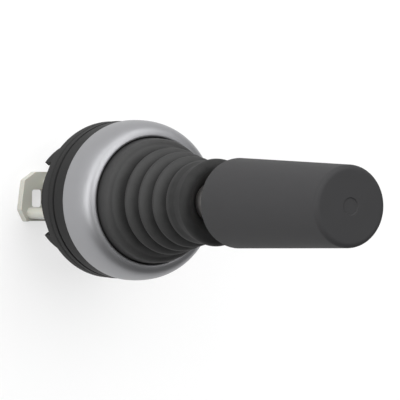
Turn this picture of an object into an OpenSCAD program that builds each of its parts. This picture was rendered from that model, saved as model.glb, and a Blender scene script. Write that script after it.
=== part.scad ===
// Two-way joystick operator for a 22.3 mm panel hole, springing back to the centre.
// The origin lies on the axis in the panel's front face; +Z runs out along the lever.
// The lever tilts to the east, +X, and to the west; +Y is north.

/* [Housing] */
// Diameter of the barrel that passes through the panel
barrel_d = 22.1; // [21.8:0.05:22.2]
// Depth of the barrel's four rear lugs behind the panel face
barrel_depth = 9.8; // [9.6:0.1:11]
// Depth at which the gaps between the lugs start
gap_depth = 6.8; // [5:0.1:7]
// Width of each rear lug, in degrees round the axis
lug_angle = 24; // [20:1:30]
// Angle from the east-west line to the middle of each lug
lug_place = 50; // [45:1:55]
// Diameter of the collar in front of the panel
collar_d = 29.2; // [28.8:0.1:29.3]
// Thickness of the rubber panel seal
seal_t = 2.5; // [1.5:0.1:2.6]

/* [Bezel] */
// Largest diameter of the bezel
bezel_d = 29.5; // [29.4:0.1:30.5]
// Height of the bezel's rear edge above the panel face
bezel_z = 8.2; // [8.1:0.1:8.4]
// Height of the bezel's front edge above the panel face
bezel_top = 15.25; // [15.05:0.05:15.6]
// Diameter of the opening that the bellows comes out of
bezel_bore_d = 23.3; // [22.8:0.1:23.6]

/* [Bellows] */
// Radius of the first free fold
fold_r = 10; // [9.8:0.1:10.8]
// Height of the first free fold
fold_z = 22; // [21.6:0.1:22.4]
// Height from one fold to the next
fold_pitch = 3.6; // [3.4:0.1:3.7]
// Loss of radius from one fold to the next
fold_step = 0.75; // [0.6:0.05:0.8]
// Depth of the valleys between the folds
fold_depth = 1.8; // [1.2:0.1:2]
// Wall thickness of the rubber
rubber_t = 0.9; // [0.7:0.1:1]

/* [Lever] */
// Height of the pivot above the panel face
pivot_z = 6.6; // [6.6:0.1:6.7]
// Diameter of the steel lever
shaft_d = 7; // [6:0.5:7]
// Height at which the handle starts
handle_z = 45.2; // [44:0.1:48]
// Length of the handle
handle_len = 35.2; // [34:0.1:40]
// Diameter of the handle at its rear end
handle_d1 = 15.8; // [15:0.1:17]
// Diameter of the handle at its tip
handle_d2 = 13.8; // [13:0.1:15]

/* [Contact plungers] */
// Distance from the axis at which the lever's noses press on the plungers
plunger_r = 6.9; // [6.8:0.05:6.95]
// Depth of the plungers' foot plates behind the panel face
foot_depth = 15.8; // [15:0.1:18]
// Thickness of each foot plate
foot_t = 1.8; // [1.4:0.1:2]

/* [Hidden] */
$fn = 96;
EPS = 0.01;
WEST = 180;
NORTH = 90;
SOUTH = 270;

barrel_r = barrel_d / 2;
stop_r = 11.7;           // shoulder behind which the panel and its hole lie
bore_r = 10.1;           // bore of the barrel, round the plungers
socket_r = 12;           // counterbore that takes the bearing ring
socket_z = 3.8;          // floor of that counterbore
neck_r = 13.2;           // neck under the bezel
neck_top = 12.6;
collar_r = collar_d / 2;
collar_top = 8;

bezel_r = bezel_d / 2;
bezel_bore_r = bezel_bore_d / 2;
bezel_wide_z = bezel_z + 0.6;
bezel_round = 2.5;       // exponent of the front's curve: 2 is an ellipse, more is fuller
lip_z = 14.4;            // underside of the bezel's front lip
clamp_z = 13.6;          // underside of the clamp ring
clamp_r = 12.6;

shaft_r = shaft_d / 2;
stud_r = 2;              // lower end of the lever, in the hub
thread_r = 3;            // upper end of the lever, in the handle's insert
shoulder_z = 8.8;        // shoulder of the lever on the hub
seat_z = handle_z + 4;   // shoulder of the lever in the handle
thread_top = seat_z + 14;
insert_r = 4.6;
insert_top = seat_z + 16;

pin_r = 1;
pin_gap = 0.04;          // running clearance of an axle pin
bearing_r1 = 9.9;
bearing_r2 = 11.95;
bearing_top = 10.6;
block_r = 6.3;           // inner face of the two bearing blocks
block_half = 2.6;
gate_t = 1;
gate_half = 4.85;        // half the length of the gate's slot, along the lever's swing
gate_side = 3.7;         // half the width of that slot
circlip_z = bearing_top + gate_t + 0.05;
circlip_t = 0.7;
hub_r = 5.9;
hub_t = 4.4;

arm_z = 0.8;             // underside of the rocker arm
arm_t = 1.4;
nose_r = 1.3;            // rounded noses on the arm, centred on that underside
head_top = arm_z - nose_r - 0.1;
head_t = 1.6;
head_in = 4.25;
head_r = 9.9;
head_half = 4.2;
outer_leg = [8.2, 2.8];  // the two legs of the east plunger
outer_leg_r = 1.1;
inner_leg = [4.9, -2.9];
inner_leg_r = 1;
guide_top = -6.8;
guide_t = 3;
guide_r = 10.05;

FOLDS = 4;
FOLD_POINTS = 10;        // points along each fold
collar_rim_z = 39.2;     // front rim of the bellows' thick end
collar_rim_r = 7.2;
cup_z = 35.8;            // bottom of the recess round the lever

// A ring of rectangular section
module tube(r1, r2, z, h) {
    translate([0, 0, z])
        difference() {
            cylinder(r = r2, h = h);
            translate([0, 0, -EPS])
                cylinder(r = r1, h = h + 2 * EPS);
        }
}

// A round bar along +X or, turned, along another direction
module radial_bar(r, from, to, z, turn = 0) {
    rotate([0, 0, turn])
        translate([from, 0, z])
            rotate([0, 90, 0])
                cylinder(r = r, h = to - from);
}

// Points of a quarter circle about (x, y), from angle a1 to a2
function arc(x, y, r, a1, a2, n = 8) =
    [for (i = [0:n]) let (a = a1 + (a2 - a1) * i / n) [x + r * cos(a), y + r * sin(a)]];

// Places round the axis of the barrel's four lugs
function lug_places() = [lug_place, WEST - lug_place, WEST + lug_place, -lug_place];

// Shell of the head: barrel with lugs, collar, neck and bearing socket
module housing() {
    color("#262626")
        difference() {
            union() {
                translate([0, 0, -barrel_depth])
                    cylinder(r = barrel_r, h = barrel_depth + seal_t);
                cylinder(r = stop_r, h = seal_t + 1);
                rotate_extrude()
                    polygon(collar_profile());
            }
            translate([0, 0, -barrel_depth - 1])
                cylinder(r = bore_r, h = barrel_depth + 20);
            translate([0, 0, socket_z])
                cylinder(r = socket_r, h = 20);
            translate([0, 0, circlip_z - 0.05])
                cylinder(r = socket_r + 0.5, h = circlip_t + 0.1);
            for (turn = [0, WEST])
                rotate([0, 0, turn])
                    lug_gap(lug_place - lug_angle / 2);
            for (turn = [NORTH, SOUTH])
                rotate([0, 0, turn])
                    lug_gap(NORTH - lug_place - lug_angle / 2);
            for (turn = lug_places())
                rotate([0, 0, turn])
                    translate([bore_r - 0.5, -1.6, guide_top - guide_t + 0.6])
                        cube([1.15, 3.2, 1.8]);
        }
}

// Outline of the collar and neck, with the two grooves round the collar
function collar_profile() = [
    [barrel_r - 0.5, seal_t], [collar_r - 0.4, seal_t], [collar_r, seal_t + 0.4],
    [collar_r, 4.1], [collar_r - 0.35, 4.2], [collar_r - 0.35, 4.5], [collar_r - 0.05, 4.6],
    [collar_r - 0.05, collar_top], [neck_r, collar_top], [neck_r, neck_top - 0.3],
    [neck_r - 0.3, neck_top], [barrel_r - 0.5, neck_top]
];

// Wedge, half as wide as twice the angle, that is cut out of the barrel's rim between two lugs
module lug_gap(half) {
    reach = 20;
    translate([0, 0, -barrel_depth - 1])
        linear_extrude(barrel_depth + 1 - gap_depth)
            polygon([[0, 0], [reach * cos(half), -reach * sin(half)], [reach, 0],
                     [reach * cos(half), reach * sin(half)]]);
}

// Rubber ring between the collar and the panel, with a groove between its two sealing bands
module panel_seal() {
    color("#2e2e30")
        rotate_extrude()
            polygon([[stop_r + 0.1, 0], [12.4, 0], [12.6, 0.4], [13, 0.4], [13.2, 0],
                     [collar_r - 0.3, 0], [collar_r - 0.05, 0.3], [collar_r - 0.05, seal_t - 0.4],
                     [collar_r - 0.3, seal_t], [stop_r + 0.1, seal_t]]);
}

// Satin metal ring with a full, rounded front
module bezel_ring() {
    front = bezel_top - bezel_wide_z;
    color("#b9bbbe")
        rotate_extrude()
            polygon(concat(
                [[neck_r + 0.1, bezel_z], [bezel_r - 0.15, bezel_z], [bezel_r, bezel_z + 0.3]],
                [for (i = [0:16]) let (t = sin(90 * i / 16))
                    [bezel_bore_r + (bezel_r - bezel_bore_r)
                        * pow(1 - pow(t, bezel_round), 1 / bezel_round),
                     bezel_wide_z + front * t]],
                [[bezel_bore_r, lip_z], [12.7, lip_z], [neck_r + 0.1, 13.3]]));
}

// Outer radius of the folded wall at height z: a straight taper less a wave between the folds
function fold_outer(z) =
    fold_r - fold_step * (z - fold_z) / fold_pitch
    - fold_depth * pow(abs(sin(180 * (z - fold_z) / fold_pitch)), 2.6);

// Rubber bellows with a clamped foot, four free folds and a thick end round the lever
module bellows() {
    last_z = fold_z + fold_pitch * (FOLDS - 1);
    first_z = fold_z - fold_pitch / 2;
    last_r = fold_outer(last_z);
    steps = FOLD_POINTS * (FOLDS - 0.5);
    wall = [for (i = [0:steps])
        let (z = first_z + (last_z - first_z) * i / steps) [fold_outer(z), z]];
    shoulder_r = bezel_bore_r - 0.35;
    color("#2b2b2c")
        rotate_extrude()
            polygon(concat(
                [[shoulder_r - rubber_t, neck_top], [clamp_r, neck_top], [clamp_r, clamp_z],
                 [shoulder_r, clamp_z]],
                arc(shoulder_r - 1.3, 17.5, 1.1, 0, 80),
                wall,
                [[last_r - 0.15, last_z + 0.6], [last_r - 0.4, last_z + 1.4]],
                arc(collar_rim_r - 0.8, collar_rim_z - 0.8, 0.8, 0, 110),
                [[shaft_r + 0.05, cup_z], [shaft_r + 0.05, cup_z - 2.4]],
                [for (i = [steps - 3:-1:0]) [wall[i][0] - rubber_t, wall[i][1]]],
                [[shoulder_r - rubber_t - 0.8, 18], [shoulder_r - rubber_t - 0.2, 17.2]]));
}

// Ring that the bezel presses onto the foot of the bellows
module bellows_clamp_ring() {
    color("#202022")
        tube(bezel_bore_r - 0.25, clamp_r, clamp_z, lip_z - clamp_z);
}

// Fixed ring with two blocks that carry the lever's axle
module bearing_ring() {
    color("#3a3a3c")
        difference() {
            union() {
                tube(bearing_r1, bearing_r2, socket_z, bearing_top - socket_z);
                for (turn = [NORTH, SOUTH]) {
                    rotate([0, 0, turn])
                        translate([block_r, -block_half, socket_z])
                            cube([bearing_r1 + 0.5 - block_r, 2 * block_half, pivot_z - socket_z]);
                    radial_bar(block_half, block_r, bearing_r1 + 0.5, pivot_z, turn);
                }
            }
            radial_bar(pin_r, -20, 20, pivot_z, NORTH);
        }
}

// Two steel pins along Y, held in the bearing ring's blocks, that the lever's hub turns on
module axle_pins() {
    color("silver")
        for (turn = [NORTH, SOUTH])
            radial_bar(pin_r, 3.8, bearing_r2 - 0.1, pivot_z, turn);
}

// Plate whose slot guides the lever and stops it at each end of its swing
module gate_plate() {
    slot_end = gate_half - gate_side;
    color("#c9c9c4")
        translate([0, 0, bearing_top])
            linear_extrude(gate_t)
                difference() {
                    circle(r = bearing_r2);
                    square([2 * slot_end, 2 * gate_side], center = true);
                    for (x = [-slot_end, slot_end])
                        translate([x, 0])
                            circle(r = gate_side);
                }
}

// Spring ring in the housing's groove, with two eyes at its gap
module bearing_circlip() {
    color("dimgray")
        translate([0, 0, circlip_z])
            linear_extrude(circlip_t)
                difference() {
                    union() {
                        difference() {
                            circle(r = socket_r + 0.4);
                            translate([0.5, 0])
                                circle(r = 11);
                        }
                        for (y = [-2.4, 2.4])
                            translate([-10.6, y])
                                circle(r = 1.3);
                    }
                    translate([-14, -1.2])
                        square([6, 2.4]);
                    for (y = [-2.4, 2.4])
                        translate([-10.6, y])
                            circle(r = 0.6);
                }
}

// Plate that closes the barrel and guides the plungers' legs
module plunger_guide() {
    color("#333335")
        difference() {
            union() {
                translate([0, 0, guide_top - guide_t])
                    cylinder(r = guide_r, h = guide_t);
                tube(2.5, 3.2, guide_top - EPS, 1.2);
                for (turn = [0, WEST])
                    rotate([0, 0, turn])
                        translate([plunger_r, 0, guide_top - EPS])
                            cylinder(r = 1, h = 1);
                for (turn = lug_places())
                    rotate([0, 0, turn])
                        translate([guide_r - 0.5, -1.5, guide_top - guide_t + 0.7])
                            cube([1, 3, 1.5]);
            }
            translate([0, 0, guide_top - guide_t - 1])
                cylinder(r = 2.5, h = guide_t + 3);
            for (turn = [0, WEST])
                rotate([0, 0, turn])
                    translate([0, 0, guide_top - guide_t - 1])
                        legs(guide_t + 2, 0.05);
        }
}

// The two legs of the east plunger, with a clearance round them when they are cut out
module legs(h, gap = 0) {
    translate(outer_leg)
        cylinder(r = outer_leg_r + gap, h = h);
    translate(inner_leg)
        cylinder(r = inner_leg_r + gap, h = h);
}

// Round wire wound into a helix: rings of points round the coil, joined by quads
module coil(r, wire_r, z1, z2, turns, per_turn = 20, sides = 6) {
    n = turns * per_turn;
    points = [for (i = [0:n], j = [0:sides - 1])
        let (a = 360 * i / per_turn, b = 360 * j / sides, rr = r + wire_r * cos(b))
            [rr * cos(a), rr * sin(a), z1 + wire_r + (z2 - z1 - 2 * wire_r) * i / n + wire_r * sin(b)]];
    sides_faces = [for (i = [0:n - 1], j = [0:sides - 1])
        let (k = (j + 1) % sides)
            [i * sides + j, (i + 1) * sides + j, (i + 1) * sides + k, i * sides + k]];
    polyhedron(points, concat(
        [[for (j = [0:sides - 1]) j]], sides_faces,
        [[for (j = [sides - 1:-1:0]) n * sides + j]]));
}

// Spring that stands on the guide and pushes the lever upright
module return_spring() {
    color("gray")
        coil(3.7, 0.3, guide_top + 0.05, arm_z - 0.1, 5, 24);
}

// Turned steel lever from the clip groove up to the handle's thread
module lever_shaft() {
    color("#8d8a86")
        rotate_extrude()
            polygon([[0, -1], [stud_r - 0.3, -1], [stud_r, -0.7], [stud_r, 0.15], [1.6, 0.15],
                     [1.6, 0.75], [stud_r, 0.75], [stud_r, shoulder_z], [shaft_r, shoulder_z],
                     [shaft_r, seat_z], [thread_r, seat_z], [thread_r, thread_top - 0.5],
                     [thread_r - 0.5, thread_top], [0, thread_top]]);
}

// Hub on the lever, with a bearing hole on each side for the axle pins
module lever_hub() {
    color("#6f7174")
        difference() {
            union() {
                translate([0, 0, shoulder_z - hub_t])
                    cylinder(r = hub_r, h = hub_t);
                translate([0, 0, arm_z + arm_t])
                    cylinder(r = 3.4, h = shoulder_z - hub_t - arm_z - arm_t + EPS);
            }
            cylinder(r = stud_r, h = 20);
            for (turn = [NORTH, SOUTH])
                radial_bar(pin_r + pin_gap, 3.4, 20, pivot_z, turn);
        }
}

// Arm under the hub, with a rounded nose over each plunger
module rocker_arm() {
    color("#a9a9a4")
        difference() {
            union() {
                translate([0, 0, arm_z])
                    cylinder(r = 4.5, h = arm_t);
                for (turn = [0, WEST])
                    rotate([0, 0, turn]) {
                        translate([0, -nose_r, arm_z])
                            cube([plunger_r, 2 * nose_r, arm_t]);
                        translate([plunger_r, 0, arm_z])
                            cylinder(r = nose_r, h = arm_t);
                        translate([plunger_r, 0, arm_z])
                            sphere(r = nose_r);
                    }
            }
            translate([0, 0, -5])
                cylinder(r = stud_r, h = 20);
        }
}

// Open spring clip in the groove at the lever's lower end
module retaining_clip() {
    color("dimgray")
        difference() {
            tube(1.65, 3, 0.2, 0.5);
            translate([0, -1.2, 0])
                cube([5, 2.4, 2]);
        }
}

// Tapered handle with rounded ends, bored for the lever and its threaded insert
module handle_grip() {
    top_z = handle_z + handle_len;
    edge = 0.9;
    color("#3d3e40")
        difference() {
            rotate_extrude()
                polygon(concat(
                    [[shaft_r + 0.1, handle_z]],
                    arc(handle_d1 / 2 - 0.45, handle_z + 0.45, 0.45, -90, 0),
                    arc(handle_d2 / 2 - edge, top_z - edge, edge, 0, 90),
                    [[0, top_z], [0, insert_top + 8], [3.4, insert_top + 8], [3.4, insert_top],
                     [insert_r, insert_top], [insert_r, seat_z], [shaft_r + 0.1, seat_z]]));
            translate([0, 0, top_z - 0.15])
                cylinder(r = 1.5, h = 1);
        }
}

// Brass thread moulded into the handle
module handle_insert() {
    color("#b08d3f")
        rotate_extrude()
            polygon([[thread_r, seat_z], [insert_r, seat_z], [insert_r, seat_z + 5],
                     [insert_r - 0.5, seat_z + 5.5], [insert_r - 0.5, seat_z + 10.5],
                     [insert_r, seat_z + 11], [insert_r, insert_top], [thread_r, insert_top]]);
}

// Outline of the east foot plate: a slanting loop with blunt corners
function foot_outline() = concat(
    [[4, -5]],
    arc(7.2, -4.2, 0.8, -90, -38, 3), arc(9, -3, 0.8, -38, -12, 3),
    arc(9.5, 1.5, 0.95, -12, 35, 4), arc(8.7, 3.3, 0.8, 35, 90, 4),
    [[4, 4.1]]);

// Push piece on the east side: head under the rocker arm, two round legs and a looped foot
module plunger_east() {
    window = [2.8, 3.35];
    corner = 0.5;
    color("#c9c9c2") {
        intersection() {
            translate([head_in, -head_half, head_top - head_t])
                cube([10, 2 * head_half, head_t]);
            translate([0, 0, -20])
                cylinder(r = head_r, h = 40);
        }
        translate([plunger_r, 0, head_top - head_t - 1])
            cylinder(r = 1, h = 1.2);
        translate([0, 0, -foot_depth - foot_t / 2])
            legs(foot_depth + foot_t / 2 + head_top - head_t / 2);
        translate([0, 0, -foot_depth - foot_t])
            linear_extrude(foot_t)
                difference() {
                    polygon(foot_outline());
                    translate([5.4, -1.65]) {
                        translate([corner, 0])
                            square([window[0] - 2 * corner, window[1]]);
                        translate([0, corner])
                            square([window[0], window[1] - 2 * corner]);
                        for (x = [corner, window[0] - corner], y = [corner, window[1] - corner])
                            translate([x, y])
                                circle(r = corner);
                    }
                }
    }
}

// The west push piece is the east one, half a turn round
module plunger_west() {
    rotate([0, 0, WEST])
        plunger_east();
}

// Small spring between the guide and the east plunger's head
module plunger_spring_east() {
    color("gray")
        translate([plunger_r, 0, 0])
            coil(1.45, 0.2, guide_top + 0.05, head_top - head_t - 0.05, 5, 14);
}

module plunger_spring_west() {
    rotate([0, 0, WEST])
        plunger_spring_east();
}

housing();
panel_seal();
bezel_ring();
bellows();
bellows_clamp_ring();
bearing_ring();
axle_pins();
gate_plate();
bearing_circlip();
plunger_guide();
return_spring();
lever_shaft();
lever_hub();
rocker_arm();
retaining_clip();
handle_grip();
handle_insert();
plunger_east();
plunger_west();
plunger_spring_east();
plunger_spring_west();
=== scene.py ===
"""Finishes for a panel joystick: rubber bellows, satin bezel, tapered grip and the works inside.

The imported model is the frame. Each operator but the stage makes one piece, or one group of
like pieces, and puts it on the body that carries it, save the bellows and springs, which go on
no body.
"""

import math

import bmesh
import bpy
import numpy as np
from bpy.props import FloatProperty, FloatVectorProperty, IntProperty, PointerProperty
from bpy.types import Operator, Panel, PropertyGroup
from mathutils import Matrix, Vector


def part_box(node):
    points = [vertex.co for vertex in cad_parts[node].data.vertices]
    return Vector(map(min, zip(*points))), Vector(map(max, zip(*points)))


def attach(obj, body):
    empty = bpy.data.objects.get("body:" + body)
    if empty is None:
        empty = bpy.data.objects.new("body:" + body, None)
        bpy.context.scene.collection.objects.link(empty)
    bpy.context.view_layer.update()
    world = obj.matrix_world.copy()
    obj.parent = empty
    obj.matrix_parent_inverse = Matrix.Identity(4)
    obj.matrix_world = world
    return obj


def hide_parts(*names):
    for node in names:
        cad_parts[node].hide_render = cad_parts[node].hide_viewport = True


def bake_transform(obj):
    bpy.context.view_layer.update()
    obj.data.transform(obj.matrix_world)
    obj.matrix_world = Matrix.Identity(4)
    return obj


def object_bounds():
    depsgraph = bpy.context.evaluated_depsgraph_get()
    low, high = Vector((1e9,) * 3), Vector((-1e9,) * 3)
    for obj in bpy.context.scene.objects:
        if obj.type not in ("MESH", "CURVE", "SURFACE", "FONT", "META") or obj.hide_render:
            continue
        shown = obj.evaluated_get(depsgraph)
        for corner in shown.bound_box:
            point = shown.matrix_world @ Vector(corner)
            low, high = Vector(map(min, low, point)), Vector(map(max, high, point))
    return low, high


bl_info = {
    "name": "Panel Joystick",
    "version": (1, 0, 0),
    "blender": (4, 5, 0),
    "location": "View3D > Sidebar > Joystick",
    "description": "Builds the visible pieces and finishes of a panel joystick",
    "category": "Object",
}

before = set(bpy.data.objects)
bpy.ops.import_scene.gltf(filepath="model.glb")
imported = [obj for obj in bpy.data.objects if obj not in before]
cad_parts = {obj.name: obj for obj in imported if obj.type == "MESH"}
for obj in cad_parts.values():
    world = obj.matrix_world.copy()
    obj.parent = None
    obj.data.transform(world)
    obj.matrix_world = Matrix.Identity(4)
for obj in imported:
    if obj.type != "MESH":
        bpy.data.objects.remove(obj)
CAD_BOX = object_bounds()
MM = 0.001
FOLDS = 4                               # free folds of the bellows
SIDES = {"east": 1, "west": -1}         # which way each push piece lies from the axis
GUIDE_REAR = -8 * MM                    # where the plunger guide's rear is cut back to
BACKDROP_SHARE = 0.6                    # how far the floor is plain white where it is seen
LAMP_SIZE = 0.9                         # metres across
LAMP_DISTANCE = 1.1                     # metres from the middle of the lever

# Each lamp's bearing and height in degrees, and its power in watts
LAMPS = ((180, 25, 6.6), (135, 25, 5.0), (90, 25, 3.6), (90, 74, 7.6), (60, 30, 3.0))


# ---------------------------------------------------------------- sizes and colours

def length(name, description, default):
    """A length property in metres."""
    return FloatProperty(name=name, description=description, default=default, min=0.0,
                         unit="LENGTH", subtype="DISTANCE", precision=5)


def colour(name, description, default):
    """A linear RGB colour property."""
    return FloatVectorProperty(name=name, description=description, default=default, size=3,
                               min=0.0, max=1.0, subtype="COLOR")


class JoystickSizes(PropertyGroup):
    """Sizes of the pieces that are made here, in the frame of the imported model"""

    fold_radius: length("Fold radius", "Radius of the first free fold's crest", 9.65 * MM)
    fold_height: length("Fold height", "Height of the first free fold's crest", 22.35 * MM)
    fold_pitch: length("Fold pitch", "Height from one fold to the next", 3.6 * MM)
    fold_step: length("Fold step", "Loss of radius from one fold to the next", 0.75 * MM)
    fold_depth: length("Fold depth", "Depth of the valleys between the folds", 1.5 * MM)
    rubber: length("Rubber thickness", "Wall thickness of the bellows", 0.9 * MM)
    bezel_roll: length("Bezel roll", "Height of the bezel's rounded front", 6.8 * MM)
    bezel_bore: length("Bezel bore", "Radius of the bezel's opening", 11.65 * MM)
    grip_tip: length("Grip tip", "Radius of the grip at its tip", 6.9 * MM)
    dimple: length("Dimple radius", "Radius of the moulding dimple in the grip's end", 1.5 * MM)
    edge: length("Soft edge", "Width of the rounding on moulded and machined edges", 0.12 * MM)
    round_steps: IntProperty(name="Steps round", description="Faces once round a turned piece",
                             default=192, min=24, max=512)


class JoystickColours(PropertyGroup):
    """Base colours of the finishes, linear RGB"""

    shell: colour("Shell", "Black moulded housing", (0.007, 0.007, 0.007))
    grip: colour("Grip", "Dark satin grip", (0.033, 0.0328, 0.034))
    rubber: colour("Rubber", "Bellows", (0.019, 0.019, 0.019))
    seal: colour("Seal", "Panel seal", (0.015, 0.015, 0.015))
    bezel: colour("Bezel", "Satin metal ring", (0.325, 0.326, 0.337))
    steel: colour("Steel", "Turned lever, pins and plates", (0.62, 0.60, 0.585))
    wire: colour("Wire", "Springs and clips", (0.40, 0.40, 0.42))
    brass: colour("Brass", "Threaded insert", (0.66, 0.48, 0.20))
    pale: colour("Pale plastic", "Contact plungers", (0.45, 0.45, 0.40))
    grey: colour("Grey plastic", "Bearing ring", (0.16, 0.16, 0.17))
    floor: colour("Floor", "Plain pale floor", (0.93, 0.93, 0.93))


# ---------------------------------------------------------------- shader maths

class Value:
    """A socket that takes part in sums: each operator adds one Math node."""

    def __init__(self, graph, socket):
        self.graph = graph
        self.socket = socket

    def __add__(self, other):
        return self.graph.math("ADD", self, other)

    __radd__ = __add__

    def __rsub__(self, other):
        return self.graph.math("SUBTRACT", other, self)

    def __mul__(self, other):
        return self.graph.math("MULTIPLY", self, other)

    def smooth(self, low, high):
        """0 below low and 1 above high, with a smooth step between them."""
        return self.graph.node("ShaderNodeMapRange", {"interpolation_type": "SMOOTHSTEP"},
                               {0: self, 1: low, 2: high})


class Graph:
    """The node tree of one material.

    Its place, which the noises read, is a stored attribute or else the object's own frame.
    """

    def __init__(self, name, attribute=None):
        self.material = bpy.data.materials.new(name)
        self.material.use_nodes = True
        self.tree = self.material.node_tree
        self.tree.nodes.clear()
        if attribute:
            self.place = self.node("ShaderNodeAttribute", {"attribute_name": attribute}, {}, 1)
        else:
            self.place = self.node("ShaderNodeTexCoord", {}, {}, 3)

    def node(self, kind, settings, inputs, output=0):
        """Adds a node, sets its settings, then its sockets, and gives one of its outputs."""
        node = self.tree.nodes.new(kind)
        for key, setting in settings.items():
            setattr(node, key, setting)
        for key, value in inputs.items():
            if isinstance(value, Value):
                self.tree.links.new(value.socket, node.inputs[key])
            else:
                node.inputs[key].default_value = value
        return Value(self, node.outputs[output])

    def math(self, operation, *values):
        """One Math node, fed with the values in order."""
        return self.node("ShaderNodeMath", {"operation": operation}, dict(enumerate(values)))

    def noise(self, size, detail=2.0, roughness=0.5):
        """Fractal noise about 0.5, whose main features are size metres across."""
        return self.node("ShaderNodeTexNoise", {},
                         {"Vector": self.place, "Scale": 1.0 / size,
                          "Detail": detail, "Roughness": roughness})

    def height(self):
        """The z of the place."""
        return self.node("ShaderNodeSeparateXYZ", {}, {0: self.place}, 2)

    def tint(self, factor, dark, light):
        """A colour between two, by a factor."""
        return self.node("ShaderNodeMix", {"data_type": "RGBA"},
                         {0: factor, 6: (*dark, 1.0), 7: (*light, 1.0)}, 2)

    def bump(self, height, strength, distance):
        """A normal that leans with the slope of a height."""
        return self.node("ShaderNodeBump", {},
                         {"Height": height, "Strength": strength, "Distance": distance})

    def end(self, surface):
        """Ends the tree in a surface and gives the material."""
        output = self.tree.nodes.new("ShaderNodeOutputMaterial")
        self.tree.links.new(surface.socket, output.inputs["Surface"])
        return self.material

    def shader(self, inputs):
        """Ends the tree in a Principled shader and gives the material."""
        return self.end(self.node("ShaderNodeBsdfPrincipled", {}, inputs))

    def backdrop(self, inputs, share):
        """Ends the tree in a Principled shader that seen rays find partly plain white.

        With a share of 1 no shadow shows, and a smaller share keeps a faint one.
        """
        surface = self.node("ShaderNodeBsdfPrincipled", {}, inputs)
        white = self.node("ShaderNodeEmission", {},
                          {"Color": (1.0, 1.0, 1.0, 1.0), "Strength": 1.0})
        rays = self.node("ShaderNodeLightPath", {}, {}).socket.node.outputs
        seen = sum(Value(self, rays["Is %s Ray" % kind])
                   for kind in ("Camera", "Glossy", "Transmission"))
        factor = self.math("MINIMUM", seen, 1.0) * share
        return self.end(self.node("ShaderNodeMixShader", {}, {0: factor, 1: surface, 2: white}))


def shade(rgb, factor):
    """A colour made lighter or darker by a factor."""
    return tuple(min(1.0, channel * factor) for channel in rgb)


def moulded(name, rgb, grain=0.11 * MM, roughness=0.5, depth=1.0, gloss=0.5):
    """Spark-eroded moulded plastic: a fine even grain under a faint, slow change of gloss."""
    graph = Graph(name)
    fine = graph.noise(grain, 3.0, 0.6)
    slow = graph.noise(6 * MM, 2.0)
    return graph.shader({
        "Base Color": graph.tint(slow * 0.5 + fine * 0.5, shade(rgb, 0.86), shade(rgb, 1.14)),
        "Roughness": roughness - 0.06 + slow * 0.08 + fine * 0.05,
        "Normal": graph.bump(fine, 0.35 * depth, 0.02 * MM),
        "Specular IOR Level": gloss,
    })


def soft_rubber(name, rgb):
    """Matt rubber: grain, dust in slow patches, and painted light and shade on the folds."""
    graph = Graph(name, "rest_place")
    fine = graph.noise(0.14 * MM, 4.0, 0.65)
    patches = graph.noise(2.5 * MM, 3.0, 0.6)
    # Painted light and shade: 1 on the folds' crests and upper flanks, 0 in their valleys
    crest = graph.node("ShaderNodeAttribute", {"attribute_name": "crest"}, {}, 2)
    # Dust in slow patches and fine grain, plus the painted light and shade of the folds
    dust_and_painted_light = (patches * 0.35 + fine * 0.15 + crest * 0.6).smooth(0.1, 1.0)
    return graph.shader({
        "Base Color": graph.tint(dust_and_painted_light, shade(rgb, 0.2), shade(rgb, 2.1)),
        "Roughness": 0.5 + patches * 0.16 + (1.0 - crest) * 0.1,
        "Normal": graph.bump(fine, 0.4, 0.025 * MM),
        "Specular IOR Level": 0.2,
    })


def plain_rubber(name, rgb):
    """Matt rubber of a plain moulded ring."""
    graph = Graph(name)
    fine = graph.noise(0.16 * MM, 4.0, 0.65)
    patches = graph.noise(3 * MM, 3.0, 0.6)
    return graph.shader({
        "Base Color": graph.tint(patches, shade(rgb, 0.8), shade(rgb, 1.15)),
        "Roughness": 0.6 + patches * 0.15,
        "Normal": graph.bump(fine, 0.4, 0.03 * MM),
        "Specular IOR Level": 0.25,
    })


def satin_metal(name, rgb):
    """Blasted and plated metal: a very fine grain that breaks up the highlight."""
    graph = Graph(name)
    fine = graph.noise(0.09 * MM, 3.0, 0.6)
    slow = graph.noise(5 * MM, 2.0)
    return graph.shader({
        "Base Color": graph.tint(fine * 0.6 + slow * 0.4, shade(rgb, 0.93), shade(rgb, 1.07)),
        "Metallic": 1.0,
        "Roughness": 0.42 + slow * 0.06 + fine * 0.08,
        "Normal": graph.bump(fine, 0.25, 0.012 * MM),
    })


def turned_steel(name, rgb, pitch=0.06 * MM):
    """Machined steel: fine tool marks round the axis, broken up by noise along them."""
    graph = Graph(name)
    up = graph.height()
    wander = graph.noise(1.2 * MM, 3.0)
    marks = graph.math("SINE", (up + wander * (0.05 * MM)) * (2 * math.pi / pitch))
    stain = graph.noise(3 * MM, 4.0, 0.6)
    return graph.shader({
        "Base Color": graph.tint(stain, shade(rgb, 0.85), shade(rgb, 1.12)),
        "Metallic": 0.6,
        "Roughness": 0.38 + stain * 0.14,
        "Normal": graph.bump(marks, 0.12, 0.004 * MM),
    })


def drawn_wire(name, rgb):
    """Drawn spring steel: faint scratches and an uneven temper colour."""
    graph = Graph(name)
    temper = graph.noise(1.5 * MM, 3.0)
    fine = graph.noise(0.08 * MM, 2.0)
    return graph.shader({
        "Base Color": graph.tint(temper, shade(rgb, 0.8), shade(rgb, 1.15)),
        "Metallic": 1.0,
        "Roughness": 0.24 + temper * 0.14 + fine * 0.04,
        "Normal": graph.bump(fine, 0.2, 0.006 * MM),
    })


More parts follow.
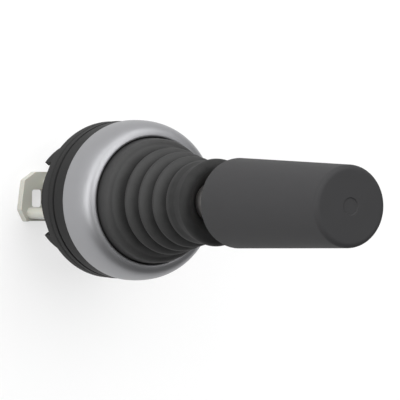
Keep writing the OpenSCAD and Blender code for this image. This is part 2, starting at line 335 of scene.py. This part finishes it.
def smooth_plastic(name, rgb):
    """Smooth pale plastic, with a slow change of gloss and faint flow marks."""
    graph = Graph(name)
    slow = graph.noise(4 * MM, 2.0)
    fine = graph.noise(0.25 * MM, 2.0)
    return graph.shader({
        "Base Color": graph.tint(slow, shade(rgb, 0.93), shade(rgb, 1.05)),
        "Roughness": 0.32 + slow * 0.12,
        "Normal": graph.bump(fine, 0.08, 0.01 * MM),
        "IOR": 1.5,
        "Subsurface Weight": 0.08,
        "Subsurface Scale": 0.6 * MM,
    })


def finish(name):
    """The material of that name, made the first time that it is asked for.

    Its own name ends in _finish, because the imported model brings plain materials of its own.
    """
    tones = bpy.context.scene.joystick_colours
    label = name + "_finish"
    makers = {
        "black_plastic": lambda: moulded(label, tones.shell, roughness=0.6, gloss=0.2),
        "grip_plastic": lambda: moulded(label, tones.grip, 0.09 * MM, 0.68, 0.7, 0.2),
        "grey_plastic": lambda: moulded(label, tones.grey, roughness=0.42),
        "bellows_rubber": lambda: soft_rubber(label, tones.rubber),
        "rubber": lambda: plain_rubber(label, tones.seal),
        "bezel_metal": lambda: satin_metal(label, tones.bezel),
        "steel": lambda: turned_steel(label, tones.steel),
        "spring_steel": lambda: drawn_wire(label, tones.wire),
        "brass": lambda: turned_steel(label, tones.brass, 0.1 * MM),
        "pale_plastic": lambda: smooth_plastic(label, tones.pale),
    }
    return bpy.data.materials.get(label) or makers[name]()


# ---------------------------------------------------------------- surfaces

def shade_smooth(mesh):
    """Marks every face of a mesh as smooth."""
    mesh.polygons.foreach_set("use_smooth", np.ones(len(mesh.polygons), bool))


def points_of(piece):
    """The points of a piece's mesh, one row each."""
    points = np.empty(len(piece.data.vertices) * 3)
    piece.data.vertices.foreach_get("co", points)
    return points.reshape(-1, 3)


def new_object(name, points, faces):
    """A smooth-shaded object from an array of points and a list of faces."""
    mesh = bpy.data.meshes.new(name)
    mesh.from_pydata(points.tolist(), [], faces)
    shade_smooth(mesh)
    mesh.set_sharp_from_angle(angle=math.radians(40))
    mesh.update()
    piece = bpy.data.objects.new(name, mesh)
    bpy.context.scene.collection.objects.link(piece)
    return piece


def grid_faces(rows, columns, wrap_rows):
    """Quads between neighbouring rows and columns of a grid whose columns close on themselves."""
    row = np.arange(rows if wrap_rows else rows - 1)[:, None]
    column = np.arange(columns)[None, :]
    after_row, after_column = (row + 1) % rows, (column + 1) % columns
    corners = [row * columns + column, row * columns + after_column,
               after_row * columns + after_column, after_row * columns + column]
    return np.stack(corners, -1).reshape(-1, 4).tolist()


def fan(pole, first, columns, outward):
    """Triangles from a pole to the ring of points that starts at first."""
    column = np.arange(columns)
    ring, after = first + column, first + (column + 1) % columns
    order = [np.full(columns, pole), ring, after] if outward else \
        [np.full(columns, pole), after, ring]
    return np.stack(order, -1).tolist()


def lathe(name, profile, steps):
    """A solid of revolution. Point (i, j) is (r_i cos a_j, r_i sin a_j, z_i).

    (r_i, z_i) runs up the outside of the profile and a_j goes once round the Z axis. A profile
    that starts and ends on the axis gets a pole at each end, and any other closes on itself.
    """
    profile = np.asarray(profile, float)
    on_axis = profile[:, 0] < 1e-9
    poles, rings = profile[on_axis], profile[~on_axis]
    angle = np.linspace(0.0, 2 * np.pi, steps, endpoint=False)
    radius, height = rings[:, :1], rings[:, 1:]
    points = np.stack([radius * np.cos(angle), radius * np.sin(angle),
                       height + 0 * angle], -1).reshape(-1, 3)
    faces = grid_faces(len(rings), steps, len(poles) == 0)
    if len(poles):
        ends = np.stack([0 * poles[:, 0], 0 * poles[:, 0], poles[:, 1]], -1)
        last = len(points)
        points = np.concatenate([points, ends])
        faces += fan(last, 0, steps, False) + fan(last + 1, last - steps, steps, True)
    return new_object(name, points, faces)


def rounded(corners, steps=8):
    """An outline through (r, z, radius) corners, each turned into an arc.

    An arc touches both edges of its corner at radius / tan(half the corner's angle), about a
    centre that is radius / sin(that half) along the corner's bisector. One more point on each
    side, a little beyond the arc, holds the flat stretches flat.
    """
    corners = np.asarray(corners, float)
    outline = []
    for before, here, after in zip(np.roll(corners, 1, 0), corners, np.roll(corners, -1, 0)):
        point, radius = here[:2], here[2]
        if radius <= 0:
            outline.append(point[None])
            continue
        back = (before[:2] - point) / np.linalg.norm(before[:2] - point)
        ahead = (after[:2] - point) / np.linalg.norm(after[:2] - point)
        half = math.acos(float(np.clip(back @ ahead, -1, 1))) / 2
        reach = radius / math.tan(half)
        bisector = (back + ahead) / np.linalg.norm(back + ahead)
        centre = point + bisector * radius / math.sin(half)
        start, end = point + back * reach - centre, point + ahead * reach - centre
        turn = np.linspace(0, 1, steps + 1)[:, None]
        swing = math.pi - 2 * half
        arc = (np.sin((1 - turn) * swing) * start + np.sin(turn * swing) * end) / math.sin(swing)
        hold = 0.2 * radius
        outline += [(point + back * (reach + hold))[None], centre + arc,
                    (point + ahead * (reach + hold))[None]]
    return np.concatenate(outline)


def coil(name, radius, wire, bottom, top, turns, axis=(0.0, 0.0), per_turn=56, sides=14):
    """Round wire of radius wire, wound into a helix about a vertical axis.

    The middle line is (R cos a, R sin a, z(a)), where z climbs slowly over the end turns and
    evenly between them. Round it runs the circle of N cos b + B sin b, with N the direction
    from the axis and B square to N and to the line's own direction.
    """
    end_turns, end_pitch = 0.9, 2.1 * wire
    reach = top - bottom - 2 * wire
    share = np.linspace(0, 1, turns * per_turn + 1)
    angle = 2 * np.pi * turns * share
    flat, climb = end_turns / turns, end_pitch * end_turns / reach
    rise = np.interp(share, [0, flat, 1 - flat, 1], [0, climb, 1 - climb, 1])
    height = bottom + wire + reach * rise
    out = np.stack([np.cos(angle), np.sin(angle), 0 * angle], -1)
    line = radius * out + height[:, None] * np.array([0, 0, 1.0])
    along = np.gradient(line, axis=0)
    along /= np.linalg.norm(along, axis=1, keepdims=True)
    up = np.cross(out, along)
    turn = np.linspace(0, 2 * np.pi, sides, endpoint=False)[None, :, None]
    points = line[:, None] + wire * (np.cos(turn) * out[:, None] + np.sin(turn) * up[:, None])
    points = np.concatenate([points.reshape(-1, 3), line[[0, -1]]])
    points[:, :2] += axis
    faces = [face[::-1] for face in grid_faces(len(line), sides, False)]
    last = len(line) * sides
    faces += fan(last, 0, sides, True) + fan(last + 1, last - sides, sides, False)
    return new_object(name, points, faces)


def softened(node, width, steps=2):
    """A merged copy of a CAD node, with its edges rounded and its flat faces kept flat."""
    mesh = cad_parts[node].data.copy()
    mesh.materials.clear()
    shape = bmesh.new()
    shape.from_mesh(mesh)
    bmesh.ops.remove_doubles(shape, verts=shape.verts, dist=0.0005 * MM)
    bmesh.ops.dissolve_limit(shape, angle_limit=math.radians(0.5), verts=shape.verts,
                             edges=shape.edges)
    shape.to_mesh(mesh)
    shape.free()
    shade_smooth(mesh)
    piece = bpy.data.objects.new(node + "_finished", mesh)
    bpy.context.scene.collection.objects.link(piece)
    bevel = piece.modifiers.new("Soft edges", "BEVEL")
    bevel.width = width
    bevel.segments = steps
    bevel.limit_method = "ANGLE"
    bevel.angle_limit = math.radians(38)
    bevel.use_clamp_overlap = True
    normals = piece.modifiers.new("Flat faces", "WEIGHTED_NORMAL")
    normals.keep_sharp = True
    return piece


def cut_back(piece, height):
    """Takes away what lies below a height and closes the cut."""
    shape = bmesh.new()
    shape.from_mesh(piece.data)
    cut = bmesh.ops.bisect_plane(shape, geom=shape.verts[:] + shape.edges[:] + shape.faces[:],
                                 plane_co=(0, 0, height), plane_no=(0, 0, -1), clear_outer=True)
    edges = [item for item in cut["geom_cut"] if isinstance(item, bmesh.types.BMEdge)]
    bmesh.ops.triangle_fill(shape, edges=edges, use_beauty=True, normal=(0, 0, -1))
    bmesh.ops.recalc_face_normals(shape, faces=shape.faces)
    shape.to_mesh(piece.data)
    shape.free()
    shade_smooth(piece.data)


def fuller_corner(piece, turn, plate_top):
    """Swells the outer north corner of the east foot, or of that foot turned half round.

    In millimetres on the east foot, each point of the plate that is north of the middle and off
    the round leg moves north by corner_swell s(x) + rim_swell t(y). s climbs smoothly from 0 to
    1 over the millimetre beyond corner, and t evenly over the width of the north rim.
    """
    corner, corner_swell = 8.6, 0.5
    rim, rim_width, rim_swell = 3.6, 0.4, 0.2
    leg_east, leg_north, leg_radius, middle = 8.2, 2.8, 1.12, 0.8
    points = points_of(piece)
    east, north = points[:, 0] * turn / MM, points[:, 1] * turn / MM
    rise = np.clip(east - corner, 0, 1)
    share = (corner_swell * rise ** 2 * (3 - 2 * rise)
             + rim_swell * np.clip((north - rim) / rim_width, 0, 1))
    off_leg = np.hypot(east - leg_east, north - leg_north) > leg_radius
    moved = off_leg & (points[:, 2] < plate_top) & (north > middle)
    points[:, 1] += np.where(moved, share, 0) * turn * MM
    piece.data.vertices.foreach_set("co", points.reshape(-1))
    piece.data.update()


def dress(piece, body, slot, *nodes, material=None):
    """Gives a piece its finish and puts it on its body in place of the CAD nodes.

    The finish has the slot's name unless another is given. A piece with None for its body is
    put on no body.
    """
    piece.data.materials.clear()
    piece.data.materials.append(finish(material or slot))
    if nodes:
        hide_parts(*nodes)
    if body:
        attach(piece, body)
    return piece


def fold_outline(z, sizes):
    """Outer radius of the folds: a straight taper less a wave that is 0 on each crest."""
    fullness = 2.1
    turns = (z - sizes.fold_height) / sizes.fold_pitch
    return (sizes.fold_radius - sizes.fold_step * turns
            - sizes.fold_depth * np.abs(np.sin(np.pi * turns)) ** fullness)


def thread_wave(radius, start, end, pitch, depth=0.25 * MM):
    """Ring grooves that stand for a thread: the radius dips by depth once each pitch."""
    z = np.linspace(start, end, int((end - start) / pitch) * 8 + 1)
    dip = 0.5 - 0.5 * np.cos(2 * np.pi * (z - start) / pitch)
    return np.stack([radius - depth * dip, z], -1)


# ---------------------------------------------------------------- the pieces

class JOYSTICK_OT_bellows(Operator):
    """Rubber bellows: clamped foot, shoulder, four folds and a thick end round the lever"""

    bl_idname = "joystick.bellows"
    bl_label = "Bellows"

    def execute(self, context):
        sizes = context.scene.joystick_sizes
        low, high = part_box("bellows")
        clamp_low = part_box("bellows_clamp_ring")[0].z
        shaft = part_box("lever_shaft")[1].x

        # The outside, from the clamped foot over the shoulder's crown to the last fold
        inside, clamped = sizes.bezel_bore - 0.15 * MM, sizes.bezel_bore - 0.35 * MM
        crown_low, crown_round = clamp_low + 3.9 * MM, 1.1 * MM
        first = sizes.fold_height - sizes.fold_pitch / 2
        last = sizes.fold_height + (FOLDS - 1) * sizes.fold_pitch
        z = np.linspace(first, last, 110)
        wall = np.stack([fold_outline(z, sizes), z], -1)
        turn = np.radians(np.linspace(0, 84, 12))
        crown = np.stack([inside - 0.2 * MM - crown_round * (1 - np.cos(turn)),
                          crown_low + crown_round * np.sin(turn)], -1)
        slope = np.linspace(crown[-1], wall[0], 10)[1:-1]
        foot = [[clamped - sizes.rubber, low.z], [high.x, low.z], [high.x, clamp_low],
                [clamped, clamp_low], [clamped, clamp_low + 0.9 * MM],
                [inside, clamp_low + 1.2 * MM]]

        # The thick end: a waist, a rolled rim and a dish that closes on the lever
        rim_radius, rim_round = 7.75 * MM, 1.4 * MM
        cup, bore = high.z - 2.4 * MM, shaft + 0.05 * MM
        at_last = wall[-1, 0]
        waist = [[at_last - 0.15 * MM, last + 0.6 * MM], [at_last - 0.4 * MM, last + 1.4 * MM],
                 [at_last - 0.43 * MM, last + 1.8 * MM]]
        turn = np.radians(np.linspace(0, 115, 14))
        rim = np.stack([rim_radius - rim_round * (1 - np.cos(turn)),
                        high.z - rim_round * (1 - np.sin(turn))], -1)
        dish = np.linspace(rim[-1], [bore + 0.35 * MM, cup], 8)[1:]

        # The inside, back down to the foot
        throat = [[bore, cup - 0.3 * MM], [bore, cup - 2.4 * MM]]
        inner = wall[:-10][::-1] - [sizes.rubber, 0]
        shoulder = [[inside - sizes.rubber - 0.8 * MM, crown_low + 0.5 * MM],
                    [inside - sizes.rubber - 0.2 * MM, crown_low - 0.3 * MM]]
        profile = np.concatenate([foot, crown, slope, wall, waist, rim, dish, throat, inner,
                                  shoulder])
        piece = lathe("bellows_skin", profile, sizes.round_steps)
        # Stores the rest place, and the painted light and shade of the folds
        self.mark(piece, sizes, first - 0.45 * MM)
        dress(piece, None, "rubber", "bellows", material="bellows_rubber")
        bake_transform(piece)
        return {"FINISHED"}

    @staticmethod
    def mark(piece, sizes, crown_top):
        """Stores each point's place at rest, and the painted light and shade of the folds.

        The second is a sharp wave on the outside of the folds, whose tops lie a little in front
        of the crests: crests and upper flanks are painted lighter, valleys and lower flanks
        darker.
        It is painted light on the shoulder and fades from 1 to 0 where the shoulder ends,
        painting shade into the first valley, and it is even elsewhere.
        """
        # lead moves the painted light up onto the upper flanks; even is the flat level off the
        # folds
        lead, even, fade = 0.13, 0.42, 1.3 * MM
        folds_start, folds_end = -0.55, FOLDS - 0.87
        points = points_of(piece)
        place = piece.data.attributes.new("rest_place", "FLOAT_VECTOR", "POINT")
        place.data.foreach_set("vector", points.reshape(-1))
        turns = (points[:, 2] - sizes.fold_height) / sizes.fold_pitch
        # Painted light: lightest just above each crest, painted shade in the valleys
        wave = np.cos(np.pi * (turns - lead)) ** 4
        on_folds = (turns > folds_start) & (turns < folds_end)
        radius = np.hypot(points[:, 0], points[:, 1])
        outside = radius > fold_outline(points[:, 2], sizes) - 0.3 * MM
        # Painted light on the shoulder, fading to painted shade towards the first valley
        shoulder = np.clip((crown_top - points[:, 2]) / fade, 0, 1)
        plain = np.where(turns < 0, shoulder, even)
        crest = np.where(on_folds & outside, wave, plain)
        piece.data.attributes.new("crest", "FLOAT", "POINT").data.foreach_set("value", crest)


class JOYSTICK_OT_bezel(Operator):
    """Satin metal ring with a full, rounded front"""

    bl_idname = "joystick.bezel"
    bl_label = "Bezel ring"

    def execute(self, context):
        sizes = context.scene.joystick_sizes
        low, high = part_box("bezel_ring")
        outside, inside, fullness = high.x, sizes.bezel_bore, 2.5
        neck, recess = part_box("housing")[1].x - 1.3 * MM, 12.7 * MM
        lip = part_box("bellows_clamp_ring")[1].z
        widest = low.z + 0.6 * MM
        top = widest + sizes.bezel_roll
        share = np.sin(np.radians(np.linspace(0, 88, 40)))
        swell = (1 - share ** fullness) ** (1 / fullness)
        roll = np.stack([inside + (outside - inside) * swell,
                         widest + sizes.bezel_roll * share], -1)
        rear = [[neck, low.z], [outside - 0.15 * MM, low.z],
                [outside - 0.05 * MM, low.z + 0.08 * MM], [outside, low.z + 0.3 * MM]]
        back = [[inside + 0.05 * MM, top - 0.12 * MM], [inside, top - 0.3 * MM], [inside, lip],
                [recess, lip], [neck, lip - 1.1 * MM]]
        piece = lathe("bezel", np.concatenate([rear, roll, back]), sizes.round_steps)
        dress(piece, "root", "bezel_metal", "bezel_ring")
        return {"FINISHED"}


class JOYSTICK_OT_grip(Operator):
    """Tapered grip with softly rounded ends and a moulding dimple in its end face"""

    bl_idname = "joystick.grip"
    bl_label = "Grip"

    def execute(self, context):
        sizes = context.scene.joystick_sizes
        low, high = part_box("handle_grip")
        insert_low, insert_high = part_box("handle_insert")
        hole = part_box("lever_shaft")[1].x + 0.1 * MM
        core, core_end = 3.4 * MM, insert_high.z + 8 * MM
        dimple, dimple_floor = sizes.dimple, high.z - 0.15 * MM
        inner = [[0, core_end], [core, core_end], [core, insert_high.z],
                 [insert_high.x, insert_high.z], [insert_high.x, insert_low.z],
                 [hole, insert_low.z]]
        body = rounded([
            [hole, low.z, 0.15 * MM], [high.x, low.z, 0.45 * MM],
            [sizes.grip_tip, high.z, 0.9 * MM], [dimple, high.z, 0.05 * MM],
            [dimple - 0.12 * MM, dimple_floor, 0.04 * MM],
        ])[:-1]
        profile = np.concatenate([inner, body, [[0, dimple_floor]]])
        piece = lathe("grip", profile, sizes.round_steps)
        dress(piece, "lever", "grip_plastic", "handle_grip")
        return {"FINISHED"}


class JOYSTICK_OT_lever(Operator):
    """Turned steel lever"""

    bl_idname = "joystick.lever"
    bl_label = "Lever"

    def execute(self, context):
        sizes = context.scene.joystick_sizes
        low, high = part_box("lever_shaft")
        clip_low, clip_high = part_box("retaining_clip")
        shoulder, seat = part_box("lever_hub")[1].z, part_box("handle_insert")[0].z
        radius, stud, thread, pitch = high.x, 2 * MM, 3 * MM, 1 * MM
        groove, play = stud - 0.4 * MM, 0.05 * MM
        crisp, soft, chamfer = 0.02 * MM, 0.15 * MM, 0.5 * MM
        corners = [
            [stud, low.z, 0.3 * MM], [stud, clip_low.z - play, crisp],
            [groove, clip_low.z - play, crisp], [groove, clip_high.z + play, crisp],
            [stud, clip_high.z + play, crisp], [stud, shoulder, crisp],
            [radius, shoulder, soft], [radius, seat, soft], [thread, seat, 0.05 * MM],
        ]
        shank = rounded([[0, low.z, 0], *corners, [thread, seat + pitch, 0]], 5)[:-1]
        grooves = thread_wave(thread, seat + pitch, high.z - pitch, pitch)
        end = [[thread, high.z - chamfer], [thread - chamfer, high.z], [0, high.z]]
        piece = lathe("lever", np.concatenate([shank, grooves, end]), sizes.round_steps // 2)
        dress(piece, "lever", "steel", "lever_shaft")
        return {"FINISHED"}


class JOYSTICK_OT_springs(Operator):
    """Return spring and the two plunger springs, in round wire with closed ends"""

    bl_idname = "joystick.springs"
    bl_label = "Springs"

    def execute(self, context):
        low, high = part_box("return_spring")
        wire = 0.3 * MM
        piece = coil("centring_spring", high.x - 2 * wire, wire, low.z, high.z - 0.1 * MM, 5)
        dress(piece, None, "spring_steel", "return_spring")
        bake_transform(piece)
        for side in SIDES:
            low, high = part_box("plunger_spring_" + side)
            middle, wire = (low + high) / 2, 0.2 * MM
            radius = (high.x - low.x) / 2 - wire
            piece = coil("lift_spring_" + side, radius, wire, low.z, high.z, 5,
                         (middle.x, middle.y), 36, 10)
            dress(piece, None, "spring_steel", "plunger_spring_" + side)
            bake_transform(piece)
        return {"FINISHED"}


class JOYSTICK_OT_shell(Operator):
    """Housing, seal and plunger guide, and the rings, plate and pins inside"""

    bl_idname = "joystick.shell"
    bl_label = "Housing and rings"

    def execute(self, context):
        edge = context.scene.joystick_sizes.edge
        for node, slot, width in (
                ("housing", "black_plastic", edge * 0.6),
                ("panel_seal", "rubber", edge * 0.5),
                ("plunger_guide", "black_plastic", edge),
                ("bellows_clamp_ring", "black_plastic", edge * 0.5),
                ("bearing_ring", "grey_plastic", edge),
                ("gate_plate", "steel", edge * 0.6),
                ("bearing_circlip", "spring_steel", edge * 0.5),
                ("axle_pins", "steel", edge)):
            piece = softened(node, width)
            if node == "plunger_guide":
                cut_back(piece, GUIDE_REAR)
            dress(piece, "root", slot, node)
        self.pip()
        return {"FINISHED"}

    @staticmethod
    def pip():
        """Round pip on the rear of the plunger guide, beside the west push piece."""
        radius, place = 0.8 * MM, (-9.0 * MM, -0.6 * MM)
        end, root = GUIDE_REAR - 1.4 * MM, GUIDE_REAR + 0.3 * MM
        outline = rounded([[0, end, 0], [radius, end, 0.25 * MM], [radius, root, 0],
                           [0, root, 0]])
        piece = lathe("guide_pip", outline, 48)
        piece.data.transform(Matrix.Translation((*place, 0)))
        dress(piece, "root", "black_plastic")


class JOYSTICK_OT_rocker(Operator):
    """Hub, rocker arm, clip and threaded insert on the lever"""

    bl_idname = "joystick.rocker"
    bl_label = "Hub and rocker arm"

    def execute(self, context):
        edge = context.scene.joystick_sizes.edge
        for node, slot, width in (
                ("lever_hub", "steel", edge),
                ("rocker_arm", "steel", edge * 0.6),
                ("retaining_clip", "spring_steel", edge * 0.4),
                ("handle_insert", "brass", edge)):
            dress(softened(node, width), "lever", slot, node)
        return {"FINISHED"}


class JOYSTICK_OT_plungers(Operator):
    """Two pale push pieces with round legs and looped feet"""

    bl_idname = "joystick.plungers"
    bl_label = "Contact plungers"

    def execute(self, context):
        edge = context.scene.joystick_sizes.edge
        foot_plate_top = -15.7 * MM
        for side, turn in SIDES.items():
            node = "plunger_" + side
            piece = softened(node, edge * 1.6, 3)
            fuller_corner(piece, turn, foot_plate_top)
            dress(piece, "contact_" + side, "pale_plastic", node)
        return {"FINISHED"}


# ---------------------------------------------------------------- stage

class JOYSTICK_OT_stage(Operator):
    """Pale floor, soft lamps and the camera"""

    bl_idname = "joystick.stage"
    bl_label = "Stage"

    def execute(self, context):
        scene = context.scene
        self.floor(scene)
        self.lamps(scene)
        self.camera(scene)
        scene.view_settings.view_transform = "Standard"
        return {"FINISHED"}

    @staticmethod
    def floor(scene):
        """A wide pale disc just under the plungers' feet."""
        height, reach, sides = CAD_BOX[0][2] - 0.05 * MM, 3.0, 64
        angle = np.linspace(0, 2 * np.pi, sides, endpoint=False)
        points = np.stack([reach * np.cos(angle), reach * np.sin(angle),
                           np.full(sides, height)], -1)
        floor = new_object("floor", points, [list(range(sides))])
        graph = Graph("pale_floor")
        tone = scene.joystick_colours.floor
        cloudy = graph.noise(0.4, 2.0)
        floor.data.materials.append(graph.backdrop({
            "Base Color": graph.tint(cloudy, shade(tone, 0.995), tone),
            "Roughness": 0.9 + cloudy * 0.05,
        }, BACKDROP_SHARE))

    @staticmethod
    def lamps(scene):
        """Large soft lamps in an arc from the west round by the north, and an even sky."""
        world = bpy.data.worlds.new("studio")
        world.use_nodes = True
        sky = world.node_tree.nodes["Background"]
        sky.inputs["Color"].default_value = (1.0, 1.0, 1.0, 1.0)
        sky.inputs["Strength"].default_value = 0.2
        scene.world = world
        middle = Vector((0, 0, 30 * MM))
        for bearing, height, power in LAMPS:
            lamp = bpy.data.lights.new("lamp_%d_%d" % (bearing, height), "AREA")
            lamp.shape = "DISK"
            lamp.size = LAMP_SIZE
            lamp.energy = power
            holder = bpy.data.objects.new(lamp.name, lamp)
            turn, rise = math.radians(bearing), math.radians(height)
            away = Vector((math.cos(rise) * math.cos(turn), math.cos(rise) * math.sin(turn),
                           math.sin(rise)))
            holder.location = middle + LAMP_DISTANCE * away
            holder.rotation_euler = away.to_track_quat("Z", "Y").to_euler()
            scene.collection.objects.link(holder)

    @staticmethod
    def camera(scene):
        """Looks down from the west, 31 degrees off the lever's axis, with north upwards."""
        slant, bearing, roll = math.radians(31.05), math.radians(178.62), math.radians(0.43)
        distance, aim = 0.5686, Vector((0, 0.36 * MM, 32.2 * MM))
        back = Vector((math.sin(slant) * math.cos(bearing), math.sin(slant) * math.sin(bearing),
                       math.cos(slant)))
        right = Vector((0, 1, 0)).cross(back).normalized()
        turn = Matrix((right, back.cross(right), back)).transposed().to_4x4()
        camera = bpy.data.objects.new("camera", bpy.data.cameras.new("camera"))
        camera.data.lens = 288.0
        camera.data.sensor_width = 36.0
        camera.matrix_world = (Matrix.Translation(aim + distance * back) @ turn
                               @ Matrix.Rotation(roll, 4, "Z"))
        scene.collection.objects.link(camera)
        scene.camera = camera


# ---------------------------------------------------------------- sidebar and registration

class JOYSTICK_PT_panel(Panel):
    """Sizes, colours and steps of the joystick"""

    bl_label = "Panel Joystick"
    bl_idname = "JOYSTICK_PT_panel"
    bl_space_type = "VIEW_3D"
    bl_region_type = "UI"
    bl_category = "Joystick"

    def draw(self, context):
        layout = self.layout
        for title, group in (("Sizes", context.scene.joystick_sizes),
                             ("Colours", context.scene.joystick_colours)):
            box = layout.box()
            box.label(text=title)
            for key in group.__annotations__:
                box.prop(group, key)
        for step in STEPS:
            layout.operator(step.bl_idname)


STEPS = (JOYSTICK_OT_stage, JOYSTICK_OT_bellows, JOYSTICK_OT_bezel, JOYSTICK_OT_grip,
         JOYSTICK_OT_lever, JOYSTICK_OT_springs, JOYSTICK_OT_shell, JOYSTICK_OT_rocker,
         JOYSTICK_OT_plungers)
CLASSES = (JoystickSizes, JoystickColours, *STEPS, JOYSTICK_PT_panel)


def register():
    """Registers every class and hangs the properties on the scene."""
    for item in CLASSES:
        bpy.utils.register_class(item)
    bpy.types.Scene.joystick_sizes = PointerProperty(type=JoystickSizes)
    bpy.types.Scene.joystick_colours = PointerProperty(type=JoystickColours)


def unregister():
    """Takes the properties and classes away again."""
    del bpy.types.Scene.joystick_colours
    del bpy.types.Scene.joystick_sizes
    for item in reversed(CLASSES):
        bpy.utils.unregister_class(item)


def main():
    """Builds every piece in order."""
    register()
    for step in STEPS:
        family, name = step.bl_idname.split(".")
        getattr(getattr(bpy.ops, family), name)()


if __name__ == "__main__":
    main()
